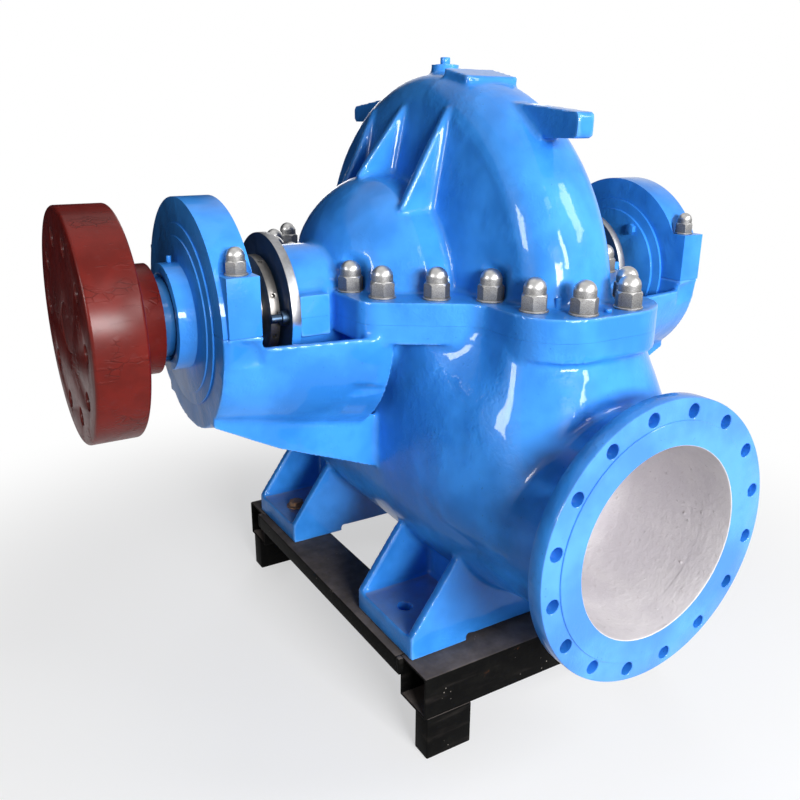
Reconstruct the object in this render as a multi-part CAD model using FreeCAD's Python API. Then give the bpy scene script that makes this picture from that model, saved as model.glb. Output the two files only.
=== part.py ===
# Split case pump: shaft along X with the drive end at -X, suction branch at -Y,
# discharge branch at +Y, Z up. The sizes below are taken from the shaft axis at the middle of
# the casing. The saved pieces stand on the floor, with the origin under the middle of their box.
import FreeCAD, Part
import math
import os

os.makedirs("parts", exist_ok=True)

V = FreeCAD.Vector

# Fits and clearances, and how far cutting tools run past the part and past a face
running_clearance = 0.05
seat_gap = 0.3
reach = 2000.0
over_run = 1.0
half_pitch = 0.5

# Shaft and sleeves
shaft_radius = 50.0
sleeve_radius = 66.0
sleeve_end_x = 500.0
sleeve_nut_radius = 111.0
sleeve_nut_outer_x = 487.5
sleeve_nut_width = 20.0
sleeve_nut_holes = 8
sleeve_nut_hole_radius = 4.5
sleeve_nut_hole_depth = 12.0
shaft_drive_x = -852.0
shaft_far_x = 628.0

# Coupling half
coupling_radius = 230.0
coupling_face_x = -861.5
coupling_width = 98.0
coupling_hub_radius = 111.0
coupling_hub_end_x = -701.0
coupling_hole_count = 10
coupling_hole_shift = 0.1
coupling_hole_radius = 18.0
coupling_hole_circle = 172.0
coupling_chamfer = 4.0

# Bearing housings
housing_radius = 236.5
housing_outer_x = 633.5
housing_width = 73.0
bearing_outer_radius = 120.0
cap_lug_half_width = 246.0
cap_lug_top_z = 112.0
cap_lug_inset = 9.0
cap_lug_inner_y = 150.0
cap_seat_depth = 60.0
cap_bolt_y = 212.0
cap_bolt_x = -housing_outer_x + cap_lug_inset + (housing_width - cap_lug_inset) / 2

# Bearing covers
cover_radius = 186.0
cover_thickness = 7.0
cover_step_radius = 160.0
cover_step_thickness = 6.0
collar_radius = 109.0
collar_end_x = 676.0
collar_recess_radius = 88.0
collar_recess_depth = 18.0
inner_cover_radius = 184.0
inner_cover_thickness = 7.0
inner_cover_step_radius = 158.0
inner_cover_step_thickness = 6.0
cover_screw_circle = 139.0
cover_screw_count = 4
cover_screw_shift = 0.4
cover_screw_across_flats = 24.0
cover_screw_height = 11.0
nipple_radius = 5.0
nipple_height = 14.0
nipple_x = 655.0

# Brackets
bracket_rim_z = -25.0
bracket_wall = 18.0
bracket_end_radius = 290.0
bracket_end_x = 300.0
web_half_width = 148.0
web_top_z = -150.0
web_tip_z = -202.0
web_mid_x = 495.0
web_mid_z = -274.0
web_root_z = -364.0
web_root_x = 264.0

# Stuffing boxes and glands
box_radius = 127.0
box_end_x = 440.0
box_lug_half_width = 152.0
box_lug_length = 66.0
box_bore_radius = 96.0
gland_radius = 156.0
gland_thickness = 20.0
gland_neck_length = 24.0
gland_neck_radius = box_bore_radius - seat_gap
gland_stud_radius = 9.0
gland_stud_circle = 128.0
gland_stud_out = 36.0
gland_slot_margin = 1.0
gland_nut_radius = 15.0
gland_nut_height = 14.0

# Volute, whose centre lies a little towards the suction side
volute_centre_y = -28.0
volute_radius = 481.0
volute_crown_half_width = 56.0
volute_crown_drop = 7.0
volute_shoulder_half_width = 90.0
volute_shoulder_drop = 31.0
volute_flank_half_width = 110.0
volute_flank_drop = 79.0
volute_root_half_width = 158.0
volute_root_radius = 180.0

# Split flange
upper_flange_thickness = 45.0
lower_flange_thickness = 40.0
flange_half_width = 358.0
flange_shoulder_y = 262.0
flange_waist_y = 388.0
flange_boss_half_width = 168.0
flange_front_margin = 83.0
flange_front_y = volute_radius - volute_centre_y + flange_front_margin
flange_corner_radius = 60.0
flange_boss_radius = 118.0
flange_back_shoulder_y = 300.0
flange_back_corner_x = 215.0
flange_back_margin = 152.0
flange_back_y = volute_radius + volute_centre_y + flange_back_margin
flange_back_radius = 90.0

# Casing studs: how far each nut lies inwards and backwards of a corner of the split flange
shoulder_nut_insets = [(33.0, 112.0), (58.0, 24.0), (145.0, -41.0)]
waist_nut_insets = [(36.0, 16.0)]
front_nut_insets = [(50.0, 105.0), (112.0, 38.0)]
back_shoulder_nut_insets = [(33.0, -150.0), (42.0, -32.0)]
back_corner_nut_insets = [(-47.0, -207.0), (41.0, -95.0), (155.0, -45.0)]
nut_across_flats = 46.0
nut_hex_height = 28.0
nut_dome_radius = 23.5
nut_height = 64.0
washer_radius = 28.0
washer_thickness = 4.0
spot_face_margin = 4.0
spot_face_height = 66.0
pin_radius = 7.0
pin_height = 24.0
pin_offset_x = 3.0
front_pin_inset = 30.0
back_pin_inset = 43.0

# Suction domes
dome_radius = 264.0
dome_flat_x = 205.0
dome_mid_x = 294.0
dome_mid_radius = 203.0
dome_end_x = 336.0

# Ribs on the upper casing: place along Y, foot on the suction dome, apex under the volute's crown
rib_thickness = 20.0
rib_root_x = 90.0
rib_places = [(-165.0, 221.0, 203.0, 124.0, 76.0), (0.0, 229.0, 262.0, 129.0, 71.0)]
rib_places += [(145.0, 203.0, 203.0, 119.0, 76.0)]

# Lifting lugs: tip, root, then drops of the bottom, tip and root from the volute's top at the root
suction_lug = (-466.0, -245.0, 79.3, 33.3, 10.3)
discharge_lug = (396.0, 190.0, 53.8, 14.8, -7.2)
lug_half_width = 20.0
lug_edge_radius = 12.0

# Pad and vent on the crown
pad_half_width = 65.0
pad_length = 92.0
pad_tilt_deg = 12.0
pad_centre_y = -136.0
pad_rise = 7.3
pad_depth = 45.0
vent_boss_radius = 31.0
vent_boss_height = 17.0
vent_plug_radius = 11.0
vent_plug_height = 15.0

# Branches
branch_z = -358.0
suction_face_y = -742.0
suction_flange_radius = 282.5
suction_flange_thickness = 39.0
suction_raised_radius = 241.0
raised_face_height = 3.0
suction_bore_radius = 193.0
suction_neck_radius = 224.0
suction_hole_count = 16
suction_hole_radius = 14.0
suction_hole_circle = 257.5
discharge_face_y = 700.0
discharge_flange_radius = 252.5
discharge_flange_thickness = 36.0
discharge_raised_radius = 214.0
discharge_bore_radius = 168.0
discharge_neck_radius = 198.0
discharge_hole_count = 16
discharge_hole_radius = 11.5
discharge_hole_circle = 230.0
suction_split_y = 615.0
discharge_split_y = 610.0
suction_bore_depth = 250.0
discharge_bore_depth = 240.0
barrel_radius = 258.0
suction_mid_y = 400.0
suction_mid_radius = 250.0
discharge_mid_y = 360.0
discharge_mid_radius = 240.0

# Chest under the split flange, as level outlines: height, half width, waist, reach and fullness on each side
chest_outlines = [
    (-20.0, 262.0, 0.17, 570.0, 2.6, 572.0, 2.5),
    (-80.0, 262.0, 0.11, 595.0, 2.7, 582.0, 2.6),
    (-140.0, 262.0, 0.04, 616.0, 3.1, 594.0, 2.8),
    (-240.0, 263.0, 0.0, 655.0, 3.6, 615.0, 3.2),
    (-358.0, 263.0, 0.0, 700.0, 4.0, 640.0, 3.6),
    (-440.0, 228.0, 0.0, 660.0, 4.0, 600.0, 3.6),
]
chest_waist_y = -400.0
chest_waist_length = 75.0
chest_points = 28

# Feet
foot_bottom_z = -695.0
foot_plate_thickness = 50.0
foot_half_length = 333.0
foot_pad_end_x = 190.0
foot_relief = 16.0
foot_near_y = 179.0
foot_far_y = 413.0
foot_web_thickness = 22.0
foot_web_top_x = 215.0
foot_web_top_z = -478.0
foot_web_root_x = 155.0
foot_core_half_width = 150.0
foot_hole_x = 275.0
foot_hole_y = 292.0
foot_hole_radius = 16.0
bolt_radius = 13.0
bolt_across_flats = 36.0
bolt_head_height = 16.0
bolt_washer_radius = 26.0

# Frame
beam_height = 100.0
beam_depth = 100.0
beam_wall = 6.0
beam_front_y = 480.0
beam_end_x = 340.0
side_beam_outer_x = 352.0
side_beam_width = 130.0
side_beam_depth = 40.0
leg_width = 112.0
leg_depth = 48.0
leg_height = 102.0
leg_inset = 6.0


def box(x0, x1, y0, y1, z0, z1):
    return Part.makeBox(x1 - x0, y1 - y0, z1 - z0, V(x0, y0, z0))


def cylinder_x(x0, x1, radius, y=0.0, z=0.0):
    return Part.makeCylinder(radius, x1 - x0, V(x0, y, z), V(1, 0, 0))


def cylinder_y(y0, y1, radius, x=0.0, z=0.0):
    return Part.makeCylinder(radius, y1 - y0, V(x, y0, z), V(0, 1, 0))


def cylinder_z(z0, z1, radius, x=0.0, y=0.0):
    return Part.makeCylinder(radius, z1 - z0, V(x, y, z0), V(0, 0, 1))


def fuse(shapes):
    whole = shapes[0].multiFuse(shapes[1:])
    return whole.removeSplitter()


def mirror_x(shape):
    return shape.mirror(V(0, 0, 0), V(1, 0, 0))


def mirror_y(shape):
    return shape.mirror(V(0, 0, 0), V(0, 1, 0))


def prism_y(points, y0, y1):
    corners = [V(x, y0, z) for x, z in points]
    face = Part.Face(Part.makePolygon(corners + [corners[0]]))
    return face.extrude(V(0, y1 - y0, 0))


def prism_x(points, x0, x1):
    corners = [V(x0, y, z) for y, z in points]
    face = Part.Face(Part.makePolygon(corners + [corners[0]]))
    return face.extrude(V(x1 - x0, 0, 0))


def upper_half(shape):
    return shape.common(box(-reach, reach, -reach, reach, 0, reach))


def lower_half(shape):
    return shape.common(box(-reach, reach, -reach, reach, -reach, 0))


def volute_top(y):
    return math.sqrt(volute_radius ** 2 - (y - volute_centre_y) ** 2)


def volute_disc():
    w = volute_crown_half_width
    crown_r = volute_radius - volute_crown_drop
    shoulder_r = volute_radius - volute_shoulder_drop
    flank_r = volute_radius - volute_flank_drop
    crown = Part.Arc(V(-w, 0, crown_r), V(0, 0, volute_radius), V(w, 0, crown_r)).toShape()
    right = Part.Arc(
        V(w, 0, crown_r),
        V(volute_shoulder_half_width, 0, shoulder_r),
        V(volute_flank_half_width, 0, flank_r),
    ).toShape()
    left = Part.Arc(
        V(-volute_flank_half_width, 0, flank_r),
        V(-volute_shoulder_half_width, 0, shoulder_r),
        V(-w, 0, crown_r),
    ).toShape()
    foot = [
        V(volute_flank_half_width, 0, flank_r),
        V(volute_root_half_width, 0, volute_root_radius),
        V(volute_root_half_width, 0, 0),
        V(-volute_root_half_width, 0, 0),
        V(-volute_root_half_width, 0, volute_root_radius),
        V(-volute_flank_half_width, 0, flank_r),
    ]
    wire = Part.Wire([crown, right] + Part.makePolygon(foot).Edges + [left])
    disc = Part.Face(wire).revolve(V(0, 0, 0), V(1, 0, 0), 360)
    disc.translate(V(0, volute_centre_y, 0))
    return disc


def suction_dome():
    shoulder = Part.Arc(
        V(-dome_end_x, 0, box_radius),
        V(-dome_mid_x, 0, dome_mid_radius),
        V(-dome_flat_x, 0, dome_radius),
    ).toShape()
    rest = [
        V(-dome_flat_x, 0, dome_radius),
        V(0, 0, dome_radius),
        V(0, 0, 0),
        V(-dome_end_x, 0, 0),
        V(-dome_end_x, 0, box_radius),
    ]
    wire = Part.Wire([shoulder] + Part.makePolygon(rest).Edges)
    return Part.Face(wire).revolve(V(0, 0, 0), V(1, 0, 0), 360)


def rounded_plate(corners, z0, z1):
    edges = []
    ends = []
    for i, (x, y, radius) in enumerate(corners):
        corner = V(x, y, z0)
        back = V(corners[i - 1][0], corners[i - 1][1], z0) - corner
        ahead = V(corners[(i + 1) % len(corners)][0], corners[(i + 1) % len(corners)][1], z0) - corner
        back.normalize()
        ahead.normalize()
        half = back.getAngle(ahead) / 2
        run = radius / math.tan(half)
        middle = back + ahead
        middle.normalize()
        middle = corner + middle * (radius / math.sin(half) - radius)
        start = corner + back * run
        end = corner + ahead * run
        edges.append(Part.Arc(start, middle, end).toShape())
        ends.append((start, end))
    sides = [Part.makeLine(ends[i - 1][1], ends[i][0]) for i in range(len(ends))]
    loop = []
    for side, arc in zip(sides, edges):
        loop += [side, arc]
    return Part.Face(Part.Wire(loop)).extrude(V(0, 0, z1 - z0))


def flange_plate(z0, z1):
    right = [
        (flange_boss_half_width, -flange_front_y, flange_boss_radius),
        (flange_boss_half_width, -flange_waist_y, flange_corner_radius),
        (flange_half_width, -flange_shoulder_y, flange_corner_radius),
        (flange_half_width, flange_back_shoulder_y, flange_back_radius),
        (flange_back_corner_x, flange_back_y, flange_back_radius),
    ]
    left = [(-x, y, radius) for x, y, radius in reversed(right)]
    return rounded_plate(right + left, z0, z1)


def shaft_way():
    way = cylinder_x(-box_end_x, box_end_x, sleeve_radius + running_clearance)
    packing = cylinder_x(-box_end_x, -box_end_x + gland_neck_length, box_bore_radius)
    return fuse([way, packing, mirror_x(packing)])


def stuffing_box(z0, z1):
    barrel = cylinder_x(-box_end_x, -dome_flat_x, box_radius)
    lug = box(-box_end_x, -box_end_x + box_lug_length, -box_lug_half_width, box_lug_half_width, z0, z1)
    return [barrel, lug]


def casing_rib(y, foot_x, foot_z, apex_x, apex_drop):
    apex_z = volute_radius - apex_drop
    points = [(-foot_x, foot_z), (-apex_x, apex_z), (-rib_root_x, apex_z), (-rib_root_x, foot_z)]
    return prism_y(points, y - rib_thickness / 2, y + rib_thickness / 2)


def lifting_lug(tip_y, root_y, bottom_drop, tip_drop, root_drop):
    top = volute_top(root_y)
    bottom = top - bottom_drop
    points = [(root_y, top - root_drop), (tip_y, top - tip_drop), (tip_y, bottom), (root_y, bottom)]
    lug = prism_x(points, -lug_half_width, lug_half_width)
    tip_edges = [e for e in lug.Edges if max(abs(v.Y - tip_y) for v in e.Vertexes) < over_run]
    across = [e for e in tip_edges if abs(e.Vertexes[0].X - e.Vertexes[1].X) > lug_half_width]
    return lug.makeFillet(lug_edge_radius, across)


def top_pad():
    plate = box(-pad_half_width, pad_half_width, -pad_length / 2, pad_length / 2, -pad_depth, 0)
    plate.rotate(V(0, 0, 0), V(1, 0, 0), pad_tilt_deg)
    plate.translate(V(0, pad_centre_y, volute_top(pad_centre_y) + pad_rise))
    return plate


def vent_boss():
    return cylinder_z(volute_radius - pad_depth, volute_radius + vent_boss_height, vent_boss_radius)


def stud_places():
    rows = [
        (flange_half_width, -flange_shoulder_y, shoulder_nut_insets),
        (flange_boss_half_width, -flange_waist_y, waist_nut_insets),
        (flange_boss_half_width, -flange_front_y, front_nut_insets),
        (flange_half_width, flange_back_shoulder_y, back_shoulder_nut_insets),
        (flange_back_corner_x, flange_back_y, back_corner_nut_insets),
    ]
    one_side = [(x - inward, y + back) for x, y, insets in rows for inward, back in insets]
    return [(side * x, y) for x, y in one_side for side in (-1, 1)]


def spot_face(x, y, z, height):
    return cylinder_z(z, z + height, washer_radius + spot_face_margin, x, y)


def upper_casing():
    ribs = [casing_rib(*place) for place in rib_places]
    left_box = stuffing_box(0, upper_flange_thickness)
    bodies = [volute_disc(), suction_dome(), mirror_x(suction_dome())]
    bodies += left_box + [mirror_x(s) for s in left_box]
    bodies += ribs + [mirror_x(r) for r in ribs]
    bodies += [lifting_lug(*suction_lug), lifting_lug(*discharge_lug), top_pad()]
    bodies += [vent_boss(), flange_plate(0, upper_flange_thickness)]
    whole = upper_half(fuse(bodies)).cut(shaft_way())
    for x, y in stud_places():
        whole = whole.cut(spot_face(x, y, upper_flange_thickness, spot_face_height))
    return whole


def lower_core():
    left_box = stuffing_box(-lower_flange_thickness, 0)
    bodies = [volute_disc(), suction_dome(), mirror_x(suction_dome())]
    bodies += left_box + [mirror_x(s) for s in left_box]
    bodies += [flange_plate(-lower_flange_thickness, 0)]
    return bodies


def barrel(end_y, mid_y, mid_radius, end_radius):
    middle = V(0, mid_y, branch_z + mid_radius)
    start = V(0, 0, branch_z + barrel_radius)
    end = V(0, end_y, branch_z + end_radius)
    curve = Part.BSplineCurve()
    curve.interpolate([start, middle, end], InitialTangent=V(0, end_y, 0), FinalTangent=V(0, end_y, 0))
    edges = [curve.toShape()]
    edges.append(Part.makeLine(end, V(0, end_y, branch_z)))
    edges.append(Part.makeLine(V(0, end_y, branch_z), V(0, 0, branch_z)))
    edges.append(Part.makeLine(V(0, 0, branch_z), start))
    face = Part.Face(Part.Wire(edges))
    return face.revolve(V(0, 0, branch_z), V(0, 1, 0), 360)


def chest_outline(z, half_width, waist, *ends):
    suction_reach, suction_fullness, discharge_reach, discharge_fullness = ends
    points = []
    for i in range(chest_points):
        angle = 2 * math.pi * i / chest_points
        across = math.cos(angle)
        along = math.sin(angle)
        furthest = discharge_reach if along > 0 else suction_reach
        fullness = discharge_fullness if along > 0 else suction_fullness
        y = math.copysign(furthest * abs(along) ** (2 / fullness), along)
        narrowing = 1 - waist * math.exp(-(((y - chest_waist_y) / chest_waist_length) ** 2))
        x = math.copysign(half_width * narrowing * abs(across) ** (2 / fullness), across)
        points.append(V(x, y, z))
    curve = Part.BSplineCurve()
    places = list(range(chest_points + 1))
    curve.interpolate(points, PeriodicFlag=True, Parameters=places)
    return Part.Wire(curve.toShape())


def chest():
    return Part.makeLoft([chest_outline(*row) for row in chest_outlines], True)


def lower_casing():
    bodies = lower_core() + [chest()]
    bodies.append(barrel(-suction_split_y, -suction_mid_y, suction_mid_radius, suction_neck_radius))
    bodies.append(barrel(discharge_split_y, discharge_mid_y, discharge_mid_radius, discharge_neck_radius))
    between_branches = box(-reach, reach, -suction_split_y, discharge_split_y, -reach, 0)
    return fuse(bodies).common(between_branches).cut(shaft_way())


def bore_way(face_y, sign, radius, depth):
    end_y = face_y - sign * depth
    low, high = sorted((face_y, end_y))
    tube = cylinder_y(low, high, radius, 0, branch_z)
    return tube.fuse(Part.makeSphere(radius, V(0, end_y, branch_z)))


def cut_branch_bores(whole):
    suction = bore_way(suction_face_y, -1, suction_bore_radius, suction_bore_depth)
    discharge = bore_way(discharge_face_y, 1, discharge_bore_radius, discharge_bore_depth)
    return whole.cut(suction).cut(discharge)


def hole_ring(count, circle, radius, y0, y1):
    holes = []
    for i in range(count):
        angle = 2 * math.pi * (i + half_pitch) / count
        x = circle * math.sin(angle)
        z = branch_z + circle * math.cos(angle)
        holes.append(cylinder_y(y0, y1, radius, x, z))
    return holes


def branch(face_y, sign, flange_r, thickness, raised_r, bore_r, neck_r, count, hole_r, circle):
    inner_y = face_y - sign * thickness
    back_y = -suction_split_y if sign < 0 else discharge_split_y
    lo, hi = sorted((face_y - sign * raised_face_height, inner_y))
    flange = cylinder_y(lo, hi, flange_r, 0, branch_z)
    lo_r, hi_r = sorted((face_y, inner_y))
    raised = cylinder_y(lo_r, hi_r, raised_r, 0, branch_z)
    lo_n, hi_n = sorted((inner_y, back_y))
    neck = cylinder_y(lo_n, hi_n, neck_r, 0, branch_z)
    lo_b, hi_b = sorted((face_y, back_y))
    bore = cylinder_y(lo_b - over_run, hi_b + over_run, bore_r, 0, branch_z)
    body = fuse([flange, raised, neck]).cut(bore)
    for hole in hole_ring(count, circle, hole_r, lo_r - over_run, hi_r + over_run):
        body = body.cut(hole)
    return body


def suction_branch():
    return branch(
        suction_face_y, -1, suction_flange_radius, suction_flange_thickness, suction_raised_radius,
        suction_bore_radius, suction_neck_radius, suction_hole_count, suction_hole_radius,
        suction_hole_circle,
    )


def discharge_branch():
    return branch(
        discharge_face_y, 1, discharge_flange_radius, discharge_flange_thickness, discharge_raised_radius,
        discharge_bore_radius, discharge_neck_radius, discharge_hole_count, discharge_hole_radius,
        discharge_hole_circle,
    )


def bracket():
    inner_x = housing_outer_x - housing_width
    outer = Part.makeCone(
        housing_radius, bracket_end_radius, housing_outer_x - bracket_end_x,
        V(-housing_outer_x, 0, 0), V(1, 0, 0),
    )
    web = prism_y(
        [
            (-housing_outer_x, web_top_z), (-housing_outer_x, web_tip_z), (-web_mid_x, web_mid_z),
            (-web_root_x, web_root_z), (-web_root_x, web_top_z),
        ],
        -web_half_width, web_half_width,
    )
    trough_inner_r = housing_radius - bracket_wall
    slope = (bracket_end_radius - housing_radius) / (housing_outer_x - bracket_end_x)
    inner_r0 = trough_inner_r + slope * housing_width
    inner_r1 = trough_inner_r + slope * (housing_outer_x - web_root_x)
    hollow = Part.makeCone(inner_r0, inner_r1, inner_x - web_root_x, V(-inner_x, 0, 0), V(1, 0, 0))
    body = fuse([outer, web])
    rim_cut = box(-inner_x, 0, -reach, reach, bracket_rim_z, reach)
    body = lower_half(body).cut(hollow).cut(rim_cut)
    shell = cylinder_x(-housing_outer_x, -inner_x, bearing_outer_radius)
    seat = box(
        -housing_outer_x + cap_lug_inset, -inner_x,
        -cap_lug_half_width, -cap_lug_inner_y, -cap_seat_depth, 0,
    )
    return fuse([body, seat, mirror_y(seat)]).cut(shell)


def bearing_cap():
    inner_x = housing_outer_x - housing_width
    ring = upper_half(cylinder_x(-housing_outer_x, -inner_x, housing_radius))
    lug = box(
        -housing_outer_x + cap_lug_inset, -inner_x,
        -cap_lug_half_width, -cap_lug_inner_y, 0, cap_lug_top_z,
    )
    body = fuse([ring, lug, mirror_y(lug)]).cut(cylinder_x(-housing_outer_x, -inner_x, bearing_outer_radius))
    for side in (-1, 1):
        body = body.cut(spot_face(cap_bolt_x, side * cap_bolt_y, cap_lug_top_z, housing_radius))
    return body


def bearing():
    inner_x = housing_outer_x - housing_width
    ring = cylinder_x(-housing_outer_x, -inner_x, bearing_outer_radius)
    return ring.cut(cylinder_x(-housing_outer_x, -inner_x, shaft_radius + running_clearance))


def outer_cover():
    x0 = -housing_outer_x
    plate = cylinder_x(x0 - cover_thickness, x0, cover_radius)
    step = cylinder_x(x0 - cover_thickness - cover_step_thickness, x0, cover_step_radius)
    collar = cylinder_x(-collar_end_x, x0, collar_radius)
    recess = cylinder_x(-collar_end_x, -collar_end_x + collar_recess_depth, collar_recess_radius)
    bore = cylinder_x(-collar_end_x, x0, shaft_radius + running_clearance)
    return fuse([plate, step, collar]).cut(recess).cut(bore)


def far_cover():
    x0 = housing_outer_x
    plate = cylinder_x(x0, x0 + cover_thickness, cover_radius)
    step = cylinder_x(x0, x0 + cover_thickness + cover_step_thickness, cover_step_radius)
    return fuse([plate, step])


def inner_cover():
    x0 = housing_width - housing_outer_x
    x1 = x0 + inner_cover_thickness
    x2 = x1 + inner_cover_step_thickness
    plate = cylinder_x(x0, x1, inner_cover_radius)
    step = cylinder_x(x0, x2, inner_cover_step_radius)
    return fuse([plate, step]).cut(cylinder_x(x0, x2, shaft_radius + running_clearance))


def cover_screws():
    x0 = housing_width - housing_outer_x + inner_cover_thickness + inner_cover_step_thickness
    heads = []
    for i in range(cover_screw_count):
        angle = 2 * math.pi * (i + cover_screw_shift) / cover_screw_count
        y = cover_screw_circle * math.cos(angle)
        z = cover_screw_circle * math.sin(angle)
        head = hexagon(cover_screw_across_flats, 0, 0, 0).extrude(V(0, 0, cover_screw_height))
        head.rotate(V(0, 0, 0), V(0, 1, 0), 90)
        head.translate(V(x0, y, z))
        heads.append(head)
    return Part.makeCompound(heads)


def grease_nipple():
    return cylinder_z(collar_radius + seat_gap, collar_radius + nipple_height, nipple_radius, -nipple_x, 0)


def gland():
    x0 = -box_end_x - seat_gap
    plate = cylinder_x(x0 - gland_thickness, x0, gland_radius)
    neck = cylinder_x(x0, x0 + gland_neck_length, gland_neck_radius)
    bore = cylinder_x(x0 - gland_thickness, x0 + gland_neck_length, sleeve_radius + running_clearance)
    body = fuse([plate, neck]).cut(bore)
    slot_radius = gland_stud_radius + gland_slot_margin
    for side in (-1, 1):
        slot = cylinder_x(x0 - gland_thickness, x0, slot_radius, side * gland_stud_circle, 0)
        body = body.cut(slot)
    return body


def gland_bolts():
    x0 = -box_end_x
    studs = []
    for side in (-1, 1):
        y = side * gland_stud_circle
        stud = cylinder_x(x0 - gland_thickness - gland_stud_out, x0, gland_stud_radius, y, 0)
        face_x = x0 - gland_thickness - 2 * seat_gap
        nut = cylinder_x(face_x - gland_nut_height, face_x, gland_nut_radius, y, 0)
        studs.append(fuse([stud, nut]))
    return Part.makeCompound(studs)


def hexagon(across_flats, x, y, z):
    corner = across_flats / math.sqrt(3)
    points = []
    for i in range(6):
        angle = math.pi * i / 3
        points.append(V(x + corner * math.cos(angle), y + corner * math.sin(angle), z))
    return Part.Face(Part.makePolygon(points + [points[0]]))


def dome_nut(x, y, z):
    washer = cylinder_z(z, z + washer_thickness, washer_radius, x, y)
    body = hexagon(nut_across_flats, x, y, z + washer_thickness).extrude(V(0, 0, nut_hex_height))
    dome_z = z + nut_height - nut_dome_radius
    neck = cylinder_z(z + washer_thickness, dome_z, nut_dome_radius, x, y)
    dome = Part.makeSphere(nut_dome_radius, V(x, y, dome_z), V(0, 0, 1), 0, 90, 360)
    return fuse([washer, body, neck, dome])


def casing_nuts():
    return Part.makeCompound([dome_nut(x, y, upper_flange_thickness) for x, y in stud_places()])


def cap_nuts():
    nuts = [dome_nut(cap_bolt_x, side * cap_bolt_y, cap_lug_top_z) for side in (-1, 1)]
    return Part.makeCompound(nuts)


def guide_pins():
    top = upper_flange_thickness + pin_height
    front_y = front_pin_inset - flange_front_y
    back_y = flange_back_y - back_pin_inset
    front = cylinder_z(upper_flange_thickness, top, pin_radius, -pin_offset_x, front_y)
    back = cylinder_z(upper_flange_thickness, top, pin_radius, pin_offset_x, back_y)
    return Part.makeCompound([front, back])


def vent_plug():
    seat_z = volute_radius + vent_boss_height
    return cylinder_z(seat_z, seat_z + vent_plug_height, vent_plug_radius)


def shaft():
    return cylinder_x(shaft_drive_x, shaft_far_x, shaft_radius)


def shaft_sleeves():
    sleeve = cylinder_x(-sleeve_end_x, sleeve_end_x, sleeve_radius)
    return sleeve.cut(cylinder_x(-sleeve_end_x, sleeve_end_x, shaft_radius))


def sleeve_nut():
    x0 = -sleeve_nut_outer_x
    ring = cylinder_x(x0, x0 + sleeve_nut_width, sleeve_nut_radius)
    ring = ring.cut(cylinder_x(x0, x0 + sleeve_nut_width, sleeve_radius))
    for i in range(sleeve_nut_holes):
        angle = 2 * math.pi * (i + half_pitch) / sleeve_nut_holes
        direction = V(0, math.cos(angle), math.sin(angle))
        start = V(x0 + sleeve_nut_width / 2, 0, 0) + direction * (sleeve_nut_radius - sleeve_nut_hole_depth)
        hole = Part.makeCylinder(sleeve_nut_hole_radius, sleeve_nut_hole_depth * 2, start, direction)
        ring = ring.cut(hole)
    return ring


def coupling_half():
    face_x = coupling_face_x
    disc = cylinder_x(face_x, face_x + coupling_width, coupling_radius)
    rims = [e for e in disc.Edges if e.Curve.TypeId == "Part::GeomCircle"]
    disc = disc.makeChamfer(coupling_chamfer, rims)
    hub = cylinder_x(face_x, coupling_hub_end_x, coupling_hub_radius)
    body = fuse([disc, hub]).cut(cylinder_x(face_x, coupling_hub_end_x, shaft_radius))
    for i in range(coupling_hole_count):
        angle = 2 * math.pi * (i + coupling_hole_shift) / coupling_hole_count
        y = coupling_hole_circle * math.cos(angle)
        z = coupling_hole_circle * math.sin(angle)
        body = body.cut(cylinder_x(face_x, face_x + coupling_width, coupling_hole_radius, y, z))
    return body


def feet(sign):
    y0, y1 = sorted((sign * foot_near_y, sign * foot_far_y))
    low = foot_bottom_z
    plate = box(-foot_half_length, foot_half_length, y0, y1, low, low + foot_plate_thickness)
    relief = box(-foot_pad_end_x, foot_pad_end_x, y0, y1, low, low + foot_relief)
    outline = [
        (-foot_half_length, low), (foot_half_length, low), (foot_half_length, low + foot_plate_thickness),
        (foot_web_top_x, foot_web_top_z), (foot_web_root_x, branch_z), (-foot_web_root_x, branch_z),
        (-foot_web_top_x, foot_web_top_z), (-foot_half_length, low + foot_plate_thickness),
    ]
    webs = []
    for y in (y0, y1 - foot_web_thickness):
        webs.append(prism_y(outline, y, y + foot_web_thickness))
    core = box(-foot_core_half_width, foot_core_half_width, y0, y1, low, branch_z)
    body = fuse([plate, core] + webs).cut(relief)
    for side in (-1, 1):
        x = side * foot_hole_x
        hole = cylinder_z(low, low + foot_plate_thickness, foot_hole_radius, x, sign * foot_hole_y)
        body = body.cut(hole)
    return body


def beam_tube(sign):
    y0, y1 = sorted((sign * beam_front_y, sign * (beam_front_y - beam_depth)))
    top = foot_bottom_z
    low = top - beam_height
    outer = box(-beam_end_x, beam_end_x, y0, y1, low, top)
    inner = box(-beam_end_x, beam_end_x, y0 + beam_wall, y1 - beam_wall, low + beam_wall, top - beam_wall)
    return outer.cut(inner)


def side_beam(sign):
    x0, x1 = sorted((sign * side_beam_outer_x, sign * (side_beam_outer_x - side_beam_width)))
    y = beam_front_y - beam_depth
    top = foot_bottom_z
    outer = box(x0, x1, -y, y, top - side_beam_depth, top)
    inner = box(x0 + beam_wall, x1 - beam_wall, -y, y, top - side_beam_depth, top - beam_wall)
    return outer.cut(inner)


def leg(sx, sy):
    x0, x1 = sorted((sx * (beam_end_x - leg_inset), sx * (beam_end_x - leg_inset - leg_width)))
    y0, y1 = sorted((sy * beam_front_y, sy * (beam_front_y - leg_depth)))
    top = foot_bottom_z - beam_height
    return box(x0, x1, y0, y1, top - leg_height, top)


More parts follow.
